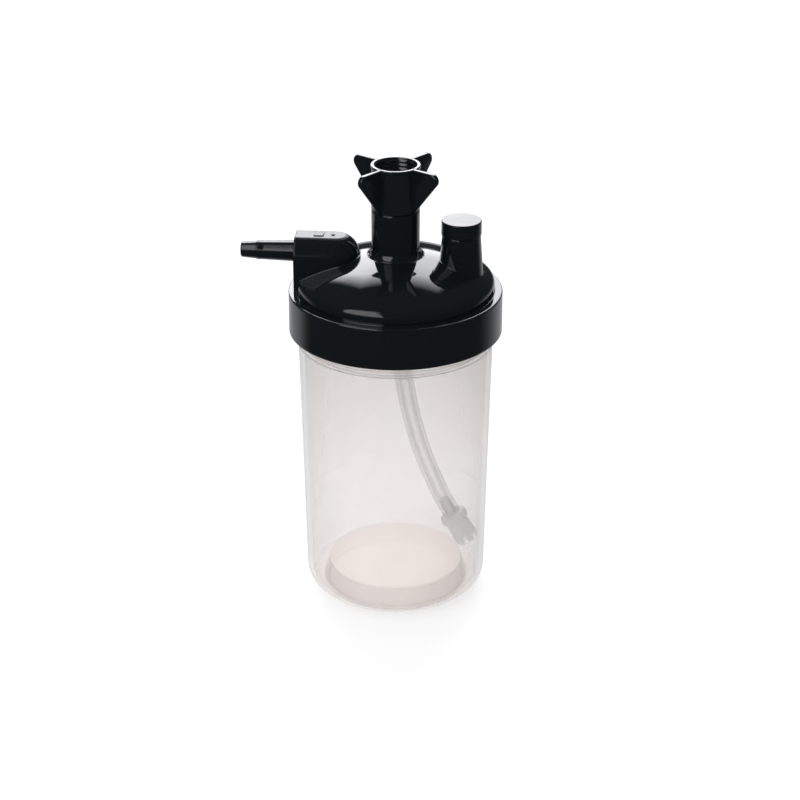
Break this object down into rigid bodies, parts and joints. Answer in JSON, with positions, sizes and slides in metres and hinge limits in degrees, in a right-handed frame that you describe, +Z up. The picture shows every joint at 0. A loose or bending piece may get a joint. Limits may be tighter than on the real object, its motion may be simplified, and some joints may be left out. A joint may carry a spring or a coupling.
{
  "type": "bubble humidifier bottle",
  "caption": "Clear cup with a screw-on black domed lid, winged inlet nut, tapered outlet nipple, relief valve and a dip tube with a bubble diffuser.",
  "frame": {"origin": "centre of the ring that the cup stands on, in the plane of the surface it rests on", "axes": "+Z up along the cup's axis, -X along the outlet nipple, the relief valve on +X"},
  "size_m": [0.0881, 0.0722, 0.1546],
  "materials": {
    "clear_cup": "translucent polypropylene, smooth",
    "black_lid": "high-gloss black ABS",
    "black_nut": "gloss black ABS",
    "black_cap": "gloss black ABS",
    "black_nipple": "black moulded plastic",
    "white_poppet": "white acetal",
    "silicone_seal": "milky silicone",
    "soft_tube": "clear soft PVC tube",
    "grey_diffuser": "frosted grey polypropylene",
    "white_stone": "sintered porous polyethylene",
    "spring_steel": "drawn spring wire"
  },
  "bodies": {
    "cup": {"cup": "clear_cup"},
    "seal": {"lid_gasket": "silicone_seal"},
    "lid": {"lid": "black_lid", "inlet_nipple": "black_nipple", "inlet_washer": "silicone_seal", "relief_cap": "black_cap", "relief_spring": "spring_steel", "dip_tube": "soft_tube", "diffuser_body": "grey_diffuser", "diffuser_stone": "white_stone"},
    "nut": {"wing_nut": "black_nut"},
    "poppet": {"relief_poppet": "white_poppet", "relief_seal": "silicone_seal"}
  },
  "joints": [
    {"name": "lid_lift", "type": "slide", "parent": "cup", "child": "seal", "axis": [0, 0, 1], "range_m": [0, 0.006]},
    {"name": "lid_turn", "type": "hinge", "parent": "seal", "child": "lid", "pos_m": [0, 0, 0.109], "axis": [0, 0, 1], "range_deg": [0, 540]},
    {"name": "nut_turn", "type": "hinge", "parent": "lid", "child": "nut", "pos_m": [0, 0, 0.147], "axis": [0, 0, 1], "continuous": true},
    {"name": "relief_lift", "type": "slide", "parent": "lid", "child": "poppet", "axis": [0, 0, 1], "range_m": [0, 0.0015], "stiffness_N_per_m": 150, "springref_m": -0.002, "deforming": ["relief_spring"]}
  ],
  "couplings": [
    {"joint": "lid_lift", "follows": "lid_turn", "m_per_rad": 0.00063662}
  ]
}
